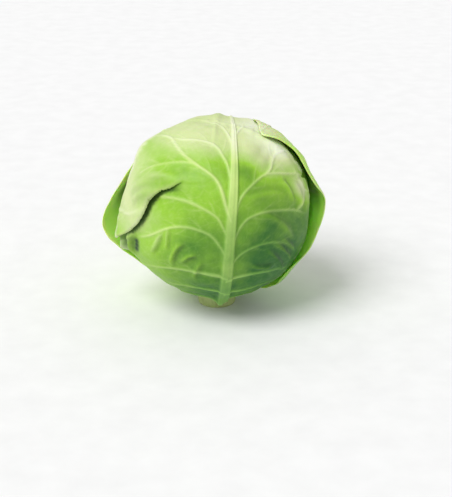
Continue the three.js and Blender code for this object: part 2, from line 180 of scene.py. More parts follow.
class Leaf:
    """One leaf, drawn on a flat plan that is wrapped round the head."""

    # What a leaf may have besides its outline and ribs.
    EXTRAS = dict(
        pleat=None,
        veins=(),
        creases=(),
        lumps=(),
        notches=(),  # degrees round from the tip, depth and width in degrees
        patches=(),
        jag=0.6,  # how uneven its margin is, in millimetres
        white_margin=0.3,  # how white its margin is, and how far in
        white_width=4,
        hollow=None,  # how far inside its margin the inner face turns dark with painted shade
    )

    def __init__(self, name, azimuth, rise, reach, lip, bend, right, left, seed, **extras):
        self.name, self.azimuth, self.rise = name, azimuth, rise
        self.reach, self.lip, self.bend, self.seed = reach, lip, bend, seed
        self.ribs = {1: right, -1: left}
        for key, value in (self.EXTRAS | extras).items():
            setattr(self, key, value)
        self.layer = len(LEAVES)
        turn, tilt = math.radians(azimuth), math.radians(rise)
        level = math.cos(tilt)
        out = np.array([math.sin(turn) * level, -math.cos(turn) * level, math.sin(tilt)])
        right_way = np.array([math.cos(turn), math.sin(turn), 0])
        self.axes = out, right_way, np.cross(out, right_way)
        below = FLAT_R + self.layer * (BLADE + GAP)
        self.root_tilt = math.atan((STEM_R + STEM_GAP + 0.8) / below)
        self.root_y = (self.root_tilt - math.radians(90 + rise)) * PLAN_R
        self.tip_y = math.radians(reach[0]) * PLAN_R
        if self.pleat:
            self.pleat["curve"] = spline(self.pleat["line"], np.linspace(0, 1, 33))

    def direction(self, x, y):
        out, right, up = self.axes
        angle = np.hypot(x, y) / PLAN_R
        turn = np.arctan2(x, y)
        parts = np.cos(angle), np.sin(angle) * np.sin(turn), np.sin(angle) * np.cos(turn)
        return sum(part[..., None] * axis for part, axis in zip(parts, (out, right, up)))

    def plan(self, d):
        out, right, up = self.axes
        far = PLAN_R * np.arccos(np.clip(d @ out, -1, 1))
        turn = np.arctan2(d @ right, d @ up)
        return far * np.sin(turn), far * np.cos(turn)

    def inside(self, x, y):
        reach = np.radians(at_round(self.reach, np.degrees(np.arctan2(x, y))))
        return reach * PLAN_R - np.hypot(x, y)

    def midrib_x(self, y):
        return self.bend[0] + self.bend[1] * y + self.bend[2] * y * y

    def share_up(self, y):
        return np.clip((y - self.root_y) / (self.tip_y - self.root_y), 0, 1)

    def rib_height(self, share):
        return lerp(RIB_HEIGHT, RIB_TIP_HEIGHT, share**0.7)

    def rib_half_width(self, share):
        return lerp(RIB_HALF_WIDTH, RIB_TIP_HALF_WIDTH, share**0.7)

    def rib_swell(self, x, y):
        share = self.share_up(y)
        off = (x - self.midrib_x(y)) / (1.7 * self.rib_half_width(share))
        return 1.15 * self.rib_height(share) * np.exp(-off * off)

    def pleat_rise(self, x, y, both_sides):
        if not self.pleat:
            return 0
        far, along, above = near_line(self.pleat["curve"], x, y)
        ends = smoothstep(along, 0, 0.45) * (1 - PLEAT_DROP * smoothstep(along, 0.7, 1))
        rise = self.pleat["height"] * ends * np.exp(-far / self.pleat["fade"])
        return rise if both_sides else np.where(above, rise, 0)

    def lip_rise(self, x, y):
        near = 1 - smoothstep(self.inside(x, y), 0, LIP_WIDTH)
        lip = at_round(self.lip, np.degrees(np.arctan2(x, y)))
        return np.maximum(0, lip) * near**1.5

    def cover(self, d):
        turned = smoothstep(-d[..., 2], 0.75, 0.9)
        return np.maximum(turned, smoothstep(self.inside(*self.plan(d)), -COVER_RAMP, 0))

    def root_point(self, degrees, spread):
        turn = math.radians(self.azimuth + degrees)
        tilt = self.root_tilt * spread
        d = [math.sin(turn) * math.sin(tilt), -math.cos(turn) * math.sin(tilt), -math.cos(tilt)]
        return np.array(self.plan(np.array(d)))

    def rows(self, side, k, a):
        """Plan points a of the way from the midrib to the margin along rows k."""
        ribs = self.ribs[side]
        starts = [self.root_y, *(r[0] for r in ribs), self.tip_y]
        ends = [180, *(r[1] for r in ribs), 0]
        steps = np.arange(len(starts))
        y, degrees = np.interp(k, steps, starts), np.interp(k, steps, ends)
        from_ = np.stack([self.midrib_x(y), y], -1)
        turns = np.radians(side * 15 * np.arange(12))
        far = np.radians(at_round(self.reach, side * 15 * np.arange(12))) * PLAN_R
        margin = np.stack([far * np.sin(turns), far * np.cos(turns)], -1)
        margin[0, 0] = self.midrib_x(self.tip_y)
        margin = np.vstack([margin, self.root_point(side * ROOT_HALF_ANGLE, 1)])
        to = spline(margin, degrees / 180)
        ragged = wave(degrees / 180 * 3.2, self.seed + side, 6, 4, 26) * self.jag
        ragged *= smoothstep(180 - degrees, 0, 30)
        for centre, depth, width in self.notches:
            ragged -= depth * np.exp(-(((side * degrees - centre) / width) ** 2))
        to += to / np.linalg.norm(to, axis=-1, keepdims=True) * ragged[..., None]
        chord = to - from_
        bow = math.radians(22) * side
        bowed = np.stack(
            [
                chord[..., 0] * math.cos(bow) - chord[..., 1] * math.sin(bow),
                chord[..., 0] * math.sin(bow) + chord[..., 1] * math.cos(bow),
            ],
            -1,
        )
        rooted = smoothstep(k, 0, 1)[..., None]
        via = lerp(self.root_point(side * ROOT_HALF_ANGLE * 0.5, 1.1), from_ + 0.45 * bowed, rooted)
        a = a[..., None]
        return (1 - a) ** 2 * from_ + 2 * a * (1 - a) * via + a * a * to


def plain_ribs(root, tip, count, lag):
    shares = [(i + 1 + lag) / (count + 1) for i in range(count)]
    return [(root + (tip - root) * s, 165 * (1 - s) ** 1.15) for s in shares]


LEAVES = []
for leaf in (
    dict(
        name="back_leaf",
        azimuth=176,
        rise=16,
        reach=[84, 80, 78, 76, 78, 84, 90, 84, 78, 76, 78, 80],
        lip=[0, 0, 0, 0, 0, 0, 0, 0, 0, 0, 0, 0],
        bend=[0, 0.03, -0.0003],
        right=plain_ribs(-134, 118, 8, 0),
        left=plain_ribs(-134, 118, 8, 0.4),
        seed=11,
    ),
    dict(
        name="side_leaf",
        azimuth=66,
        rise=14,
        reach=[80, 76, 72, 70, 76, 84, 90, 84, 76, 70, 72, 76],
        lip=[0, 0, 0, 0, 0, 0, 0, 0, 0, 0, 0, 0],
        bend=[0, -0.04, 0.0003],
        right=plain_ribs(-134, 112, 8, 0.4),
        left=plain_ribs(-134, 112, 8, 0),
        seed=22,
    ),
    dict(
        name="front_leaf",
        azimuth=5,
        rise=18,
        reach=[
            *(100, 92, 80, 69, 66, 68, 71, 76, 76, 79, 84, 90),
            *(94, 92, 88, 86, 86, 87, 88, 84, 78, 80, 85, 93),
        ],
        lip=[0, 0, 0, 0, 0.5, 1, 0.5, 0, 0, 0, 0, 0, 0, 0, 0, 0, 2, 4, 3, 0, 0, 0, 0, 0],
        bend=[6.5, 0.085, 0.0004],
        right=[
            *((-112, 152), (-88, 141), (-66, 130), (-46, 116), (-27, 94)),
            *((-6, 68), (14, 49), (40, 35), (66, 21), (106, 7)),
        ],
        left=[
            *((-112, 152), (-86, 138), (-63, 124), (-43, 108), (-23, 91)),
            *((-10, 63), (2, 40), (36, 27), (72, 12), (108, 5)),
        ],
        pleat={
            "line": [(-32, 24), (-51, 24), (-66, 15), (-78, -1), (-92, -13), (-126, -33)],
            "height": 6,
            "fade": 24,
        },
        # Each vein's line, its width at both ends and its height at both ends.
        veins=[
            ([(14, 62), (18, 76), (26, 87), (36, 94), (52, 98), (66, 94)], 1.3, 1.0, 1.0, 0.8),
            ([(12, 60), (10, 74), (5, 90), (-4, 100), (-18, 109)], 1.4, 0.9, 1.0, 0.6),
            (
                [(7, 20), (5, 38), (1, 49), (-2, 57), (-9, 64), (-21, 68), (-35, 70), (-47, 76)],
                *(1.3, 1.1, 0.9, 1.0),
            ),
            (
                [
                    *((5, -8), (1, 6), (-2, 18), (-6, 26), (-12, 32), (-22, 40), (-32, 50)),
                    *((-42, 64), (-48, 75), (-58, 82), (-72, 87)),
                ],
                *(1.5, 1.3, 1.2, 1.3),
            ),
            (
                [(-22, 40), (-33, 44), (-44, 45.5), (-57, 45), (-69, 43), (-84, 38)],
                *(1.1, 1.0, 0.9, 0.6),
            ),
            (
                [
                    *((4, -26), (-1, -14), (-5, -6), (-11, -1), (-18, 3)),
                    *((-28, 8), (-41, 12), (-53, 14), (-62, 15)),
                ],
                *(1.1, 1.2, 0.7, 1.0),
            ),
            ([(-76, 9), (-89, 2), (-104, 1), (-118, 3), (-130, 2)], 0.9, 1.6, 0.7, 1.3),
            (
                [
                    *((2, -42), (-4, -30), (-12, -20), (-24, -15), (-35, -13)),
                    *((-48, -14), (-60, -18), (-72, -23), (-90, -27)),
                ],
                *(1.2, 1.2, 0.8, 1.1),
            ),
            (
                [
                    *((8, -12), (11, 4), (16, 13), (22, 19), (29, 25)),
                    *((37, 30), (46, 31.5), (67, 32), (84, 32)),
                ],
                *(1.1, 1.1, 0.6, 1.2),
            ),
            ([(36, 29), (43, 35), (47, 43), (51, 49), (58, 54), (72, 59)], 1.2, 1.1, 1.1, 1.2),
            (
                [
                    *((6, -34), (11, -18), (18, -8), (26, -4), (35, -1.5)),
                    *((46, -1), (60, -1), (71, -2), (84, -6)),
                ],
                *(1.0, 1.1, 0.6, 1.3),
            ),
            ([(71, -2), (77, 4), (80, 12), (79, 20), (74, 28), (70, 38)], 1.4, 1.2, 1.4, 1.0),
            (
                [(4, -54), (11, -42), (22, -34), (37, -30), (53, -31), (66, -37), (80, -47)],
                *(1.1, 1.0, 0.7, 0.8),
            ),
            ([(79, 18), (87, 16), (95, 17)], 1.2, 1.0, 0.9, 0.7),
        ],
        # Each crease's line, its height and its width; the hollow is on the left of the line's way.
        creases=[
            ([(24, -1), (39, -6), (51, -12), (63, -22), (72, -34)], 1.5, 3.2),
            ([(46, -30), (57, -38), (68, -48), (80, -60)], 2.4, 2.3),
            ([(38, -36), (50, -46), (61, -58), (70, -72)], 2.2, 2.3),
            ([(55, -28), (66, -35), (78, -45)], 1.8, 2.2),
            ([(24, -52), (38, -56), (52, -58)], 2.0, 2.3),
            ([(66, 26), (74, 16), (77, 6), (74, -6)], 1.4, 3.0),
            ([(-34, -26), (-43, -33), (-49, -44), (-52, -58)], 2.4, 2.2),
            ([(-24, -38), (-33, -41), (-42, -50)], 2.2, 2.1),
            ([(-51, -14), (-53, -26), (-54, -38)], 1.6, 2.0),
            ([(-60, -18), (-64, -30), (-72, -42)], 1.8, 2.4),
            ([(-40, 34), (-60, 34), (-80, 28), (-100, 22)], 1.1, 4.0),
            ([(-58, 30), (-76, 20), (-94, 10)], 1.2, 3.0),
            ([(-20, -44), (-26, -56), (-30, -68)], 1.4, 2.6),
            ([(30, 36), (42, 50), (50, 62)], 0.9, 4.5),
            ([(16, 8), (30, 12), (46, 14), (58, 11)], 1.1, 3.0),
            ([(52, 27), (60, 17), (67, 4)], 1.7, 2.6),
            ([(-30, 26), (-44, 34), (-60, 36), (-76, 34)], 1.0, 3.2),
            ([(-103, -16), (-111, -27), (-116, -40), (-115, -54)], 3.6, 2.8),
            ([(-95, -20), (-101, -30), (-105, -42), (-104, -56)], 3.2, 2.6),
        ],
        # Each lump's place, radius and height, where the margin is crumpled.
        lumps=[
            (-124, -26, 6, 3.0),
            (-113, -21, 5, 3.2),
            (-119, -44, 6, 4.0),
            (-99, -27, 5, 2.6),
            (-94, -33, 4.0, -3.2),
            (-95, -38, 4.0, -3.2),
            (-97, -43, 4.0, -3.2),
        ],
        notches=[(69, 11, 1.7), (40, 2.5, 1.4), (57, 3, 1.2), (83, 2, 1.5)],
        # Each patch of painted highlight or painted shade, a paler or darker green for more or less
        # light: its place, radius and strength.
        patches=[
            (-8, 42, 20, -0.05),
            (-20, 16, 24, -0.04),
            (-28, 58, 18, 0.05),
            (-32, -26, 20, -0.16),
            (-57, -44, 18, -0.08),
            (-108, -36, 14, -0.3),
            (46, 96, 26, 0.34),
            (32, 50, 16, 0.2),
            (61, 57, 20, 0.8),
            (76, 20, 10, 0.6),
            (86, 8, 8, 0.3),
            (20, 33, 9, -0.26),
            (32, 14, 13, -0.14),
            (42, -10, 11, -0.2),
            (14, -56, 16, 0.12),
            (64, -58, 24, -0.16),
        ],
        jag=1.2,
        white_margin=0.85,
        white_width=11,
        seed=33,
    ),
    dict(
        name="left_leaf",
        azimuth=-130,
        rise=8,
        reach=[
            *(38, 32, 29, 29, 31, 35, 41, 48, 56, 62, 74, 82),
            *(84, 84, 82, 80, 80, 78, 76, 74, 70, 62, 52, 45),
        ],
        lip=[0, 0, 0, 0, 0, 2, 8, 13, 5, 1, 0, 0, 0, 0, 0, 0, 0, 0, 0, 0, 0, 0, 0, 0],
        bend=[0, 0.05, 0.0003],
        right=plain_ribs(-128, 52, 7, 0),
        left=plain_ribs(-128, 52, 7, 0.4),
        hollow=(9, 17),
        seed=44,
    ),
    dict(
        name="right_leaf",
        azimuth=143,
        rise=10,
        reach=[
            *(44, 40, 42, 54, 68, 73, 74, 76, 78, 80, 82, 84),
            *(86, 85, 86, 88, 86, 71, 58, 65, 67, 68.5, 79, 56),
        ],
        lip=[0, 0, 0, 0, 0, 0, 0, 0, 0, 0, 0, 0, 0, 0, 0, 0, 1.5, 8, 11, 3, 2.5, 2, 1, 0.2],
        bend=[0, -0.05, 0.0002],
        right=plain_ribs(-130, 40, 8, 0.4),
        left=plain_ribs(-130, 40, 8, 0),
        hollow=(8, 14),
        patches=[(-46, 90, 20, 0.25)],
        seed=55,
    ),
):
    LEAVES.append(Leaf(**leaf))


def bed_radius(n, d):
    """The radius of what leaf number n lies on."""
    radius = head_radius(d)
    for under in LEAVES[:n]:
        x, y = under.plan(d)
        rise = under.lip_rise(x, y) + under.pleat_rise(x, y, True)
        radius = radius + under.cover(d) * (BLADE + GAP + under.rib_swell(x, y) + rise)
    return radius


def hidden_share(n, d):
    """How far the leaves outside number n hide a direction, from 0 to 1."""
    hidden = smoothstep(-d[..., 2], 0.85, 0.95)
    for over in LEAVES[n + 1 :]:
        hidden = np.maximum(hidden, smoothstep(over.inside(*over.plan(d)), -HIDDEN_RAMP, 0))
    return hidden


# A fold's cross-section: the mesh's own measure across the line, less than 0 below it, how far the
# blade's middle moves across from there, and how high it lies in parts of the fold's height.
FOLD_ACROSS = [-9, -5, -2.6, -1.2, -0.5, 0.1, 0.9, 1.6, 2.3, 3.2, 5, 9, 30]
FOLD_SHIFT = [0, 0, 1.6, 4.2, 4.7, 3.1, -1.9, -5.2, -6.7, -7.0, -5.5, -3.5, 0]
FOLD_RAISED = [0, 0, -0.05, -0.05, 0.1, 0.28, 0.5, 0.68, 0.82, 0.97, 1.0, 0.86, 0.29]
FOLD_GATHER = 9.0  # the mesh is drawn together over this much on each side of the line
FOLD_REACH = 25  # beyond this, the blade rises as its pleat says


def fold(leaf, x, y):
    """Folds a leaf's blade over itself at its pleat.

    Gives the plan points that the blade's middle moves to, its rise, the way of its outer side
    across the line and up, where painted shade lies in the fold's mouth and where a painted
    highlight lies along its rim.
    """
    far, along, above = near_line(leaf.pleat["curve"], x, y)
    side = np.where(above, 1.0, -1.0)
    grip = smoothstep(along, 0, 0.16) * (1 - 0.5 * smoothstep(along, 0.8, 1)) * (along < 1)
    rise = smoothstep(along, -0.08, 0.42) * (1 - PLEAT_DROP * smoothstep(along, 0.7, 1))
    at = spline(leaf.pleat["line"], along)
    way = (np.stack([x, y], -1) - at) * side[..., None]
    way /= np.maximum(np.linalg.norm(way, axis=-1, keepdims=True), 1e-6)
    gathered = FOLD_GATHER * (far / FOLD_GATHER) ** lerp(1.0, 1.8, grip)
    s = side * np.where(far < FOLD_GATHER, gathered, far)

    def section(s):
        across = s + grip * np.interp(s, FOLD_ACROSS, FOLD_SHIFT)
        up = leaf.pleat["height"] * rise * np.interp(s, FOLD_ACROSS, FOLD_RAISED)
        return across, up

    across, up = section(s)
    ahead, behind = section(s + 0.25), section(s - 0.25)
    run, climb = ahead[0] - behind[0], ahead[1] - behind[1]
    size = np.maximum(np.hypot(run, climb), 1e-6)
    run, climb = lerp(1.0, run / size, grip), climb / size * grip
    up = np.where(np.abs(s) > FOLD_REACH, leaf.pleat_rise(x, y, False), up)
    moved = at + way * across[..., None]
    # Painted shade in the fold's mouth, under the flap, and a painted highlight along the flap's
    # rim.
    painted_shade = smoothstep(s, -7.6, -5.4) * (1 - smoothstep(s, 0.8, 1.6)) * grip
    rim = np.exp(-(((s - 2.7) / 1.5) ** 2)) * grip
    return moved, up, way * -climb[..., None], run, painted_shade, rim


def branch(line, t, turn, length):
    """A short vein that leaves a line at t and bends back along it."""
    start, ahead = spline(line, np.array([t, min(1.0, t + 0.05)]))
    way = math.atan2(ahead[1] - start[1], ahead[0] - start[0])
    steps = np.linspace(0, 1, 7)
    turns = way + turn * (1 - 0.55 * steps)
    move = np.stack([np.cos(turns), np.sin(turns)], -1) * length / 6
    return start + np.concatenate([[[0, 0]], np.cumsum(move[1:], axis=0)])


OWN_VEINS_Y = -60  # above this on its plan, a leaf with veins of its own has no others
BRANCHES = (0.34, 0.46, 0.58, 0.7, 0.82)  # where they leave a vein, as shares of its length
LARGE_VEIN = 0.5  # the blade is quilted between veins higher than this


def leaf_veins(leaf):
    """Each vein's line on the plan, with its width and height at both ends."""
    rng = np.random.default_rng(leaf.seed)
    veins = [(spline(line, np.linspace(0, 1, 20)), *sizes) for line, *sizes in leaf.veins]
    for side in (1, -1):
        for k, (start_y, _) in enumerate(leaf.ribs[side], 1):
            if leaf.veins and start_y > OWN_VEINS_Y:
                continue
            line = leaf.rows(side, np.full(14, float(k)), np.linspace(0, 0.97, 14))
            veins.append((line, VEIN_WIDTH, VEIN_TIP_WIDTH, VEIN_HEIGHT, VEIN_TIP_HEIGHT))
    for line, *_ in list(veins):
        for i, t in enumerate(BRANCHES):
            turn = rng.uniform(0.6, 0.95) * (1 if i % 2 else -1)
            length = rng.uniform(13, 22)
            bent = branch(line, t + rng.uniform(-0.04, 0.04), turn, length)
            veins.append((bent, 0.9, 0.6, 0.42, 0.2))
    return veins


def finish_mesh(name, points, faces, marks=None, margin_and_painted_shade=None):
    """A shaded mesh object from points in millimetres, with the marks its material reads."""
    mesh = bpy.data.meshes.new(name)
    mesh.from_pydata((np.asarray(points) / 1000).tolist(), [], faces)
    mesh.validate()
    mesh.polygons.foreach_set("use_smooth", np.ones(len(mesh.polygons), bool))
    for label, values in (("marks", marks), ("margin_and_painted_shade", margin_and_painted_shade)):
        if values is not None:
            layer = mesh.attributes.new(label, "FLOAT_VECTOR", "POINT")
            layer.data.foreach_set("vector", np.asarray(values, np.float32).ravel())
    mesh.update()
    piece = bpy.data.objects.new(name, mesh)
    bpy.context.collection.objects.link(piece)
    return piece


def blade_faces(rows, columns):
    """Faces of a closed blade: an outer and an inner grid of points and the walls between."""
    i = np.arange(rows * columns).reshape(rows, columns)
    outer = np.stack([i[:-1, :-1], i[:-1, 1:], i[1:, 1:], i[1:, :-1]], -1).reshape(-1, 4)
    inner = outer[:, ::-1] + rows * columns
    rim = np.concatenate([i[0, :], i[1:, -1], i[-1, -2::-1], i[-2:0:-1, 0]])
    after = np.roll(rim, -1)
    shift = rows * columns
    walls = np.stack([after, rim, rim + shift, after + shift], -1)
    return np.concatenate([outer, inner, walls]).tolist()


def grid_of(leaf, rows, columns):
    """Plan points of a fine grid over a leaf, from its root to its tip and margin to margin."""
    halves = []
    for side in (-1, 1):
        count = len(leaf.ribs[side]) + 1
        fine = np.linspace(0, count - 0.03, 600)
        ends = leaf.rows(side, fine, np.ones(600))
        starts = leaf.rows(side, fine, np.zeros(600))
        steps = np.linalg.norm(np.diff(ends, axis=0), axis=1) + np.linalg.norm(
            np.diff(starts, axis=0), axis=1
        )
        gone = np.concatenate([[0], np.cumsum(steps)])
        k = np.interp(np.linspace(0, gone[-1], rows), gone, fine)
        a = np.linspace(0, 1, columns) ** 1.08
        kk, aa = np.meshgrid(k, a, indexing="ij")
        halves.append(leaf.rows(side, kk, aa))
    # Both halves share the midrib.
    left, right = halves
    middle = (left[:, :1] + right[:, :1]) / 2
    left, right = left + (middle - left[:, :1]), right + (middle - right[:, :1])
    return np.concatenate([left[:, :0:-1], right], axis=1)


PAINTED_SHADE_WAY = np.array([0.5, -0.5, -0.7])  # painted shade: the green is darkest low on the right in front, away from the light


def painted_light_and_shade_tone(d):
    """From 0 for the darkest green, low on the head, to 1 for the palest, over its crown: painted
    shade low on the right in front and a painted highlight over the crown and the left shoulder.
    """
    crown = smoothstep(d[..., 2], 0.66, 0.95)
    shoulder = 0.8 * smoothstep(-d[..., 0], 0.55, 0.92) * smoothstep(d[..., 2], -0.3, 0.25)
    painted_shade = smoothstep(d @ PAINTED_SHADE_WAY, 0.1, 0.95)
    return 0.5 + 0.5 * np.maximum(crown, shoulder) - 0.5 * painted_shade


def vein_relief(leaf, x, y):
    """How far the next large vein is, how strong the veins show and how high they stand."""
    nearest = np.abs(x - leaf.midrib_x(y)) - leaf.rib_half_width(leaf.share_up(y)) * 0.5
    nearest = np.maximum(nearest, 0)
    shown = np.zeros(x.shape)
    relief = np.zeros(x.shape)
    for line, width0, width1, height0, height1 in leaf_veins(leaf):
        far, along, _ = near_line(line, x, y)
        height = lerp(height0, height1, along) * (1 - 0.8 * smoothstep(along, 0.85, 1.0))
        bump = np.exp(-((far / lerp(width0, width1, along)) ** 2)) * height
        shown = np.maximum(shown, np.clip(bump / 1.2, 0, 1))
        relief = np.maximum(relief, bump)
        if height0 > LARGE_VEIN:
            nearest = np.minimum(nearest, far)
    return nearest, shown, relief


def midrib_relief(leaf, x, y):
    """How strong the midrib shows and how high it stands.

    It is a flat-topped rib, steeper on its right, with shallow grooves along it and a painted
    highlight along its left flank.
    """
    share = leaf.share_up(y)
    off = (x - leaf.midrib_x(y)) / leaf.rib_half_width(share)
    ridge = 1 - smoothstep(np.abs(off), np.where(off > 0, 0.62, 0.35), np.where(off > 0, 0.9, 1.05))
    relief = ridge * leaf.rib_height(share) + 0.12 * np.cos(off * 9.0) * ridge
    flat_top = 1 - smoothstep(np.abs(off), 0.5, 0.9)
    flat_top *= 0.55 + 0.45 * smoothstep(share, 0.35, 0.7)
    painted_highlight_stripe = np.exp(-(((off + 0.55) / 0.22) ** 2)) * 0.8 * ridge
    return np.maximum(flat_top, painted_highlight_stripe), relief


def crease_relief(leaf, x, y):
    """How high creases and lumps stand, how much paler their crests are with a painted highlight
    and how dark their hollows are with painted shade.
    """
    relief, painted_crest_highlight, shade = (np.zeros(x.shape) for _ in range(3))
    for line, height, width in leaf.creases:
        far, along, above = near_line(spline(line, np.linspace(0, 1, 9)), x, y)
        ends = smoothstep(along, -0.001, 0.35) * (1 - smoothstep(along, 0.65, 1.001))
        high = height * ends
        across = np.where(above, -far, far) / width
        relief += high * (np.exp(-(across**2)) - 0.5 * np.exp(-((across - 1.4) ** 2)))
        painted_crest_highlight += PAINTED_CREST_HIGHLIGHT * high * np.exp(-(across**2))
        shade = np.maximum(shade, CREASE_SHADE * high * np.exp(-((across - 1.2) ** 2)))
    for lump_x, lump_y, radius, height in leaf.lumps:
        bump = height * np.exp(-((x - lump_x) ** 2 + (y - lump_y) ** 2) / radius**2)
        relief += bump
        shade = np.maximum(shade, -LUMP_SHADE * bump)
    return relief, painted_crest_highlight, shade


def soft_relief(leaf, x, y, flat, nearest, cells):
    """The blade's quilting between its veins, its broad swells and its ruffled margin."""
    quilt = QUILT_HEIGHT * (1 - np.exp(-((nearest / QUILT_REACH) ** 2))) - QUILT_SUNK
    quilt += CELL_HEIGHT * cells * smoothstep(nearest, 1, 5)
    large, small = (
        height * field(flat * PLAN_R, leaf.seed + i, size)
        for i, (height, size) in enumerate(SWELLS)
    )
    ruffle = RUFFLE * wave(np.degrees(np.arctan2(x, y)) / 9, leaf.seed + 5, 5, 0.6, 1.6)
    near_margin = 1 - smoothstep(leaf.inside(x, y), 0, RUFFLE_WIDTH)
    ruffle *= near_margin * smoothstep(leaf.share_up(y), 0.05, 0.2)
    return quilt + (large + small) * 0.8 + ruffle


def leaf_colours(leaf, x, y, flat, cells):
    """How strong the net of small veins shows, how light the green is with its painted highlight
    and painted shade, and how white the margin.
    """
    fine_cells = net(x, y, FINE_CELL, leaf.seed + 3)
    netting = 0.7 * (1 - smoothstep(cells, 0.04, 0.2))
    netting += 0.3 * (1 - smoothstep(fine_cells, 0.05, 0.3))
    tone = painted_light_and_shade_tone(flat)
    # Painted highlight and painted shade: patches lighten or darken the green.
    for patch_x, patch_y, radius, strength in leaf.patches:
        tone += strength * np.exp(-((x - patch_x) ** 2 + (y - patch_y) ** 2) / radius**2)
    uneven = 1.5 * field(np.stack([x, y], -1), leaf.seed + 9, 9)
    white = 1 - smoothstep(leaf.inside(x, y) + uneven, 0.8, leaf.white_width)
    low_down = lerp(0.2, 1.0, smoothstep(flat[..., 2], -0.5, -0.15))
    margin = white * leaf.white_margin * low_down
    return netting, tone, margin


def build_leaf(n, rows, columns):
    leaf = LEAVES[n]
    grid = grid_of(leaf, rows, columns)
    x, y = grid[..., 0], grid[..., 1]
    flat = leaf.direction(x, y)
    inside = leaf.inside(x, y)
    cells = net(x + 0.35 * y, y - 0.25 * x, CELL, leaf.seed)
    nearest, vein, ribs = vein_relief(leaf, x, y)
    midrib, midrib_height = midrib_relief(leaf, x, y)
    vein, ribs = np.maximum(vein, midrib), np.maximum(ribs, midrib_height)
    creased, painted_crest_highlight, shade = crease_relief(leaf, x, y)
    netting, tone, margin = leaf_colours(leaf, x, y, flat, cells)

    shown = 1 - hidden_share(n, flat)
    shape = (soft_relief(leaf, x, y, flat, nearest, cells) + creased) * shown
    low = bed_radius(n, flat) + leaf.lip_rise(x, y) + np.maximum(shape, -0.3) * 0.9
    blade = BLADE * (1 - MARGIN_THIN * (1 - smoothstep(inside, 0, 7)))
    thick = np.maximum(blade + shape * 0.1 + ribs * shown, LEAST_THICK)
    outer_at = inner_at = grid
    outer_r, inner_r = low + thick, low
    if leaf.pleat:
        moved, up, sideways, upward, painted_shade, rim = fold(leaf, x, y)
        middle = low + up + thick / 2
        outer_at = moved + sideways * thick[..., None] / 2
        inner_at = moved - sideways * thick[..., None] / 2
        outer_r, inner_r = middle + upward * thick / 2, middle - upward * thick / 2
        # The fold's mouth gets painted shade, and its rim gets a painted highlight mixed in as a
        # vein.
        shade = np.maximum(shade, 0.95 * painted_shade)
        vein = np.maximum(vein, 0.8 * rim)
    centre = np.array([0, 0, CENTRE_Z])
    outer = leaf.direction(outer_at[..., 0], outer_at[..., 1]) * outer_r[..., None] + centre
    inner = leaf.direction(inner_at[..., 0], inner_at[..., 1]) * inner_r[..., None] + centre

    marks = np.stack([vein, netting, tone + painted_crest_highlight], -1).reshape(-1, 3)
    margin_and_painted_shade = np.stack([margin, shade, 0 * shade], -1).reshape(-1, 3)
    inner_marks, inner_margin_and_painted_shade = marks.copy(), margin_and_painted_shade.copy()
    # Painted light: a loose leaf's inner face gets a paler green, and painted shade farther inside
    # its margin.
    if leaf.hollow:
        inner_marks[:, 2] = np.maximum(marks[:, 2], 0.5) + 0.1
        inner_margin_and_painted_shade[:, 1] = 0.6 * (smoothstep(inside, *leaf.hollow) * smoothstep(y, -24, 2)).ravel()
    piece = finish_mesh(
        leaf.name + "_skin",
        np.concatenate([outer.reshape(-1, 3), inner.reshape(-1, 3)]),
        blade_faces(*x.shape),
        np.concatenate([marks, inner_marks]),
        np.concatenate([margin_and_painted_shade, inner_margin_and_painted_shade]),
    )
    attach(piece, "root")
    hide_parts(leaf.name)
    return piece


class Nodes:
    """Short names for adding and linking a material's nodes."""

    def __init__(self, name):
        self.material = bpy.data.materials.new(name)
        self.material.use_nodes = True
        self.tree = self.material.node_tree
        self.shader = self.tree.nodes["Principled BSDF"]

    def add(self, kind, inputs=(), **settings):
        node = self.tree.nodes.new("ShaderNode" + kind)
        for key, value in settings.items():
            setattr(node, key, value)
        for key, value in dict(inputs).items():
            self.feed(node.inputs[key], value)
        return node

    def feed(self, socket, value):
        if isinstance(value, bpy.types.NodeSocket):
            self.tree.links.new(value, socket)
        else:
            socket.default_value = value

    def math(self, operation, a, b=0.0):
        return self.add("Math", {0: a, 1: b}, operation=operation).outputs[0]

    def mix(self, share, a, b):
        node = self.add("Mix", {0: share, 6: a, 7: b}, data_type="RGBA")
        return node.outputs[2]

    def ramp(self, share, stops):
        node = self.add("ValToRGB", {0: share})
        elements = node.color_ramp.elements
        while len(elements) < len(stops):
            elements.new(0.5)
        for element, (place, colour) in zip(elements, stops):
            element.position = place
            element.color = colour
        return node.outputs[0]

    def attribute(self, name):
        """The three values that a mesh carries under a name."""
        vector = self.add("Attribute", attribute_name=name).outputs["Vector"]
        return self.add("SeparateXYZ", {0: vector}).outputs

    def noise(self, vector, scale, detail=3.0):
        return self.add("TexNoise", {"Vector": vector, "Scale": scale, "Detail": detail}).outputs[0]


def srgb(r, g, b):
    """A colour given as on a screen, from 0 to 255."""
    return tuple(((c / 255 + 0.055) / 1.055) ** 2.4 for c in (r, g, b)) + (1.0,)


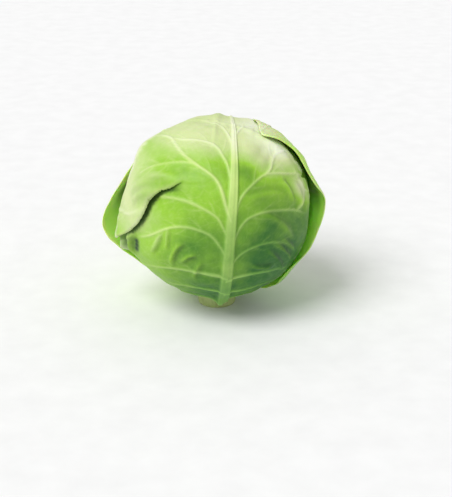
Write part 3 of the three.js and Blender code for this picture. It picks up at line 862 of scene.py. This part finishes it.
def leaf_material(name, greens, ribs, glow):
    """A leaf's green, from darkest to palest along a tone that carries painted shade and painted
    highlight, with veins that follow it, whitish margins and painted shade in its hollows.

    glow is the share of light that goes through the blade.
    """
    m = Nodes(name)
    marks = m.attribute("marks")
    margin_and_painted_shade = m.attribute("margin_and_painted_shade")
    place = m.add("TexCoord").outputs["Object"]
    blotches = m.noise(place, 26.0, 4.0)
    fine = m.noise(place, 160.0, 3.0)
    speck = m.noise(place, 900.0, 2.0)
    tone = m.math("ADD", marks[2], m.math("MULTIPLY", m.math("SUBTRACT", blotches, 0.5), 0.5))
    tone = m.math("ADD", tone, m.math("MULTIPLY", m.math("SUBTRACT", fine, 0.5), 0.14))
    tone = m.math("MULTIPLY", tone, 1 / TONE_MOST)
    colour = m.ramp(tone, [(place / TONE_MOST, green) for place, green in zip(TONE_PLACES, greens)])
    rib = m.ramp(tone, [(place / TONE_MOST, green) for place, green in zip(TONE_PLACES, ribs)])
    colour = m.mix(m.math("MULTIPLY", marks[1], 0.14), colour, rib)
    colour = m.mix(m.math("MULTIPLY", marks[0], 0.85), colour, rib)
    colour = m.mix(m.math("MULTIPLY", margin_and_painted_shade[0], 0.9), colour, ribs[2])
    # Painted shade: darkens the green in creases, lump hollows, the fold's mouth and inside the
    # loose leaves.
    colour = m.mix(m.math("MULTIPLY", margin_and_painted_shade[1], 0.9), colour, PAINTED_SHADE_GREEN)
    m.feed(m.shader.inputs["Base Color"], colour)
    rough = m.add("MapRange", {0: fine, 3: 0.36, 4: 0.56}).outputs[0]
    m.feed(m.shader.inputs["Roughness"], rough)
    height = m.math("ADD", m.math("MULTIPLY", fine, 0.6), m.math("MULTIPLY", speck, 0.25))
    height = m.math("ADD", height, m.math("MULTIPLY", marks[1], 0.3))
    bump = m.add("Bump", {"Strength": 0.3, "Distance": 0.0005, "Height": height})
    m.feed(m.shader.inputs["Normal"], bump.outputs[0])
    m.shader.inputs["Specular IOR Level"].default_value = 0.35
    m.shader.inputs["Subsurface Weight"].default_value = glow
    m.shader.inputs["Subsurface Radius"].default_value = (0.6, 1.0, 0.25)
    m.shader.inputs["Subsurface Scale"].default_value = 0.003
    return m.material


# The green of painted shade.
PAINTED_SHADE_GREEN = srgb(22, 60, 20)
RIBS = (srgb(134, 188, 78), srgb(210, 228, 146), srgb(232, 238, 200), srgb(246, 249, 232))
# Tones at which a material's four greens stand.
TONE_PLACES = (0.0, 0.5, 1.0, 1.4)
TONE_MOST = TONE_PLACES[-1]
OUTER = (srgb(38, 104, 24), srgb(146, 196, 52), srgb(207, 220, 158), srgb(240, 248, 216))
# The loose leaves' green, painted lighter than their own to light their shaded inner faces.
LOOSE_WITH_PAINTED_LIGHT = (srgb(122, 188, 62), srgb(190, 234, 100), srgb(214, 232, 158), srgb(236, 244, 210))
HEART = (srgb(70, 128, 40), srgb(150, 192, 72), srgb(208, 222, 158), srgb(236, 244, 210))
outer_green = leaf_material("leaf_outer", OUTER, RIBS, 0.1)
loose_painted_light_green = leaf_material("leaf_loose", LOOSE_WITH_PAINTED_LIGHT, RIBS, 0.8)
heart_green = leaf_material("leaf_heart", HEART, RIBS, 0.1)

# Each leaf's rows from root to tip and columns from midrib to margin, and its material.
FINISHES = {
    "back_leaf": (130, 66, heart_green),
    "side_leaf": (130, 66, heart_green),
    "front_leaf": (230, 84, outer_green),
    "left_leaf": (140, 70, loose_painted_light_green),
    "right_leaf": (170, 80, loose_painted_light_green),
}
for n, leaf in enumerate(LEAVES):
    rows, columns, finish = FINISHES[leaf.name]
    build_leaf(n, rows, columns).data.materials.append(finish)


# The dense inner head, seen only between the leaves, with the margins of its own leaves.
# Each of its leaves' ways out and how far out along it the leaf begins.
HEAD_STEPS = (((0.8, 0.5, 0.33), 0.1), ((-0.75, 0.55, 0.37), 0.15), ((0.1, -0.9, 0.42), 0.2))
HEAD_STEP_HEIGHT = 0.8
HEAD_SUNK = 0.4  # how far it lies inside the solid's own shape


def build_head(rows=110, columns=200):
    pocket_r = STEM_R + STEM_GAP
    last = math.pi - math.atan(pocket_r / FLAT_R)
    tilt = np.linspace(0.012, last, rows)[:, None]
    turn = np.linspace(0, 2 * np.pi, columns, endpoint=False)[None, :]
    d = np.stack(
        [np.sin(tilt) * np.cos(turn), np.sin(tilt) * np.sin(turn), np.cos(tilt) + 0 * turn], -1
    )
    sunk = HEAD_SUNK
    for normal, level in HEAD_STEPS:
        above = d @ (np.array(normal) / np.linalg.norm(normal)) - level
        sunk = sunk + HEAD_STEP_HEIGHT * smoothstep(-above, -0.03, 0.03)
    radius = head_radius(d) - sunk + 0.3 * field(d * 80, 5, 24) - 0.2
    radius[-1] = pocket_r / math.sin(last)
    points = d * radius[..., None] + np.array([0, 0, CENTRE_Z])
    way = turn[0]
    pocket = np.stack(
        [pocket_r * np.cos(way), pocket_r * np.sin(way), 0 * way + STEM_TOP_Z + STEM_GAP], -1
    )
    points = np.concatenate([points, pocket[None]])
    i = np.arange(points.shape[0] * columns).reshape(-1, columns)
    j = np.roll(i, -1, axis=1)
    faces = np.stack([i[:-1], i[1:], j[1:], j[:-1]], -1).reshape(-1, 4).tolist()
    faces.append(i[0].tolist())
    faces.append(i[-1][::-1].tolist())
    # The inner head's green carries the same painted highlight over the crown and painted shade low
    # on the right.
    tone = painted_light_and_shade_tone(d)
    tone = np.concatenate([tone, tone[-1:]])
    netting = 1 - smoothstep(net(turn * 80 + 0 * tilt, tilt * 80 + 0 * turn, 9, 2), 0.04, 0.2)
    netting = np.concatenate([netting, netting[-1:]])
    marks = np.stack([0 * tone, netting, tone], -1).reshape(-1, 3)
    piece = finish_mesh("inner_head_skin", points.reshape(-1, 3), faces, marks, 0 * marks)
    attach(piece, "root")
    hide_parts("inner_head")
    return piece


build_head().data.materials.append(heart_green)


# The stem's stump: a cut face with its rings, and the scars of leaves cut away round it.
STEM_RINGS = (2.5, 5, 7.5, 9.5, 11, 12.2, 13.2, 14.2, 15.0, 15.7)  # radii on the cut face


def build_stem(columns=160):
    turn = np.linspace(0, 2 * np.pi, columns, endpoint=False)
    rings = []
    for r in STEM_RINGS:
        wavy = r + 0.25 * np.sin(5 * turn + r) * (r / 16)
        rings.append((wavy, np.full(columns, max(0.0, 0.05 + 0.16 * math.sin(r * 2.1)))))
    rings.append((np.full(columns, STEM_R - 1.0), np.full(columns, 0.0)))
    for z in np.linspace(0.7, STEM_TOP_Z - 1.5, 44):
        scar = 0.35 * np.sin(3 * turn + z * 0.33) * np.sin(z * 0.8 + np.cos(turn * 2))
        fibre = 0.12 * np.sin(31 * turn + 0.4 * z) + 0.07 * np.sin(57 * turn)
        rings.append((STEM_R - 0.7 + scar + fibre - 0.4 * (z < 1), np.full(columns, z)))
    rings.append((np.full(columns, STEM_R - 3.5), np.full(columns, STEM_TOP_Z)))
    points = np.stack(
        [np.stack([r * np.cos(turn), r * np.sin(turn), z], -1) for r, z in rings]
    )
    i = np.arange(len(rings) * columns).reshape(-1, columns)
    j = np.roll(i, -1, axis=1)
    faces = np.stack([i[:-1], j[:-1], j[1:], i[1:]], -1).reshape(-1, 4).tolist()
    faces.append(i[0][::-1].tolist())
    faces.append(i[-1].tolist())
    piece = finish_mesh("stem_skin", points.reshape(-1, 3), faces)
    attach(piece, "root")
    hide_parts("stem")
    return piece


def stem_material():
    m = Nodes("stem_cut")
    place = m.add("TexCoord").outputs["Object"]
    parts = m.add("SeparateXYZ", {0: place}).outputs
    squares = [m.math("MULTIPLY", part, part) for part in (parts[0], parts[1])]
    far = m.math("SQRT", m.math("ADD", *squares))
    wobble = m.math("MULTIPLY", m.math("SUBTRACT", m.noise(place, 220.0), 0.5), 0.002)
    rings = m.ramp(
        m.math("MULTIPLY", m.math("ADD", far, wobble), 1 / 0.018),
        [
            (0.0, srgb(236, 236, 206)),
            (0.55, srgb(226, 232, 180)),
            (0.68, srgb(178, 190, 120)),
            (0.76, srgb(222, 228, 172)),
            (0.95, srgb(168, 192, 104)),
        ],
    )
    streak = m.noise(m.add("Mapping", {0: place, 3: (1.0, 1.0, 0.15)}).outputs[0], 420.0)
    colour = m.mix(m.math("MULTIPLY", streak, 0.5), rings, srgb(196, 200, 140))
    m.feed(m.shader.inputs["Base Color"], colour)
    m.feed(m.shader.inputs["Roughness"], m.add("MapRange", {0: streak, 3: 0.5, 4: 0.75}).outputs[0])
    bump = m.add("Bump", {"Strength": 0.4, "Distance": 0.0006, "Height": streak})
    m.feed(m.shader.inputs["Normal"], bump.outputs[0])
    return m.material


build_stem().data.materials.append(stem_material())


# Floor, light and camera, in metres.
SUN_WAY = (-1.1, -1.05, 2.0)
SUN_POWER = 2.15
SUN_WIDTH = math.radians(35)
STUDIO_LIGHT = 0.56
LENS = 85
CAMERA_AT = (0.00817, -0.94857, 0.43269)
CAMERA_AIM = (0.00817, -0.01305, 0.05471)
FLOOR_HALF = 3.0


def build_floor():
    mesh = bpy.data.meshes.new("floor")
    s = FLOOR_HALF
    mesh.from_pydata([(-s, -s, 0), (s, -s, 0), (s, s, 0), (-s, s, 0)], [], [(0, 1, 2, 3)])
    floor = bpy.data.objects.new("floor", mesh)
    bpy.context.collection.objects.link(floor)
    m = Nodes("floor_white")
    grain = m.noise(m.add("TexCoord").outputs["Object"], 40.0)
    whites = [(0.3, (0.86, 0.86, 0.86, 1)), (0.7, (0.9, 0.9, 0.9, 1))]
    m.feed(m.shader.inputs["Base Color"], m.ramp(grain, whites))
    m.shader.inputs["Roughness"].default_value = 0.9
    mesh.materials.append(m.material)


def add_light(name, kind, way, **settings):
    """A light that shines on the head from a place, or for a sun from that way."""
    data = bpy.data.lights.new(name, kind)
    for key, value in settings.items():
        setattr(data, key, value)
    light = bpy.data.objects.new(name, data)
    light.location = way
    light.rotation_euler = (Vector((0, 0, 0.08)) - Vector(way)).to_track_quat("-Z", "Y").to_euler()
    bpy.context.collection.objects.link(light)


build_floor()
add_light("key", "SUN", SUN_WAY, energy=SUN_POWER, angle=SUN_WIDTH)
world = bpy.data.worlds.new("studio")
world.use_nodes = True
background = world.node_tree.nodes["Background"]
background.inputs["Color"].default_value = (1, 1, 1, 1)
background.inputs["Strength"].default_value = STUDIO_LIGHT
bpy.context.scene.world = world
bpy.context.scene.view_settings.view_transform = "Standard"

camera_data = bpy.data.cameras.new("camera")
camera_data.lens = LENS
camera_data.sensor_width = 36
camera = bpy.data.objects.new("camera", camera_data)
camera.location = CAMERA_AT
way = Vector(CAMERA_AIM) - Vector(CAMERA_AT)
camera.rotation_euler = way.to_track_quat("-Z", "Y").to_euler()
bpy.context.collection.objects.link(camera)
bpy.context.scene.camera = camera
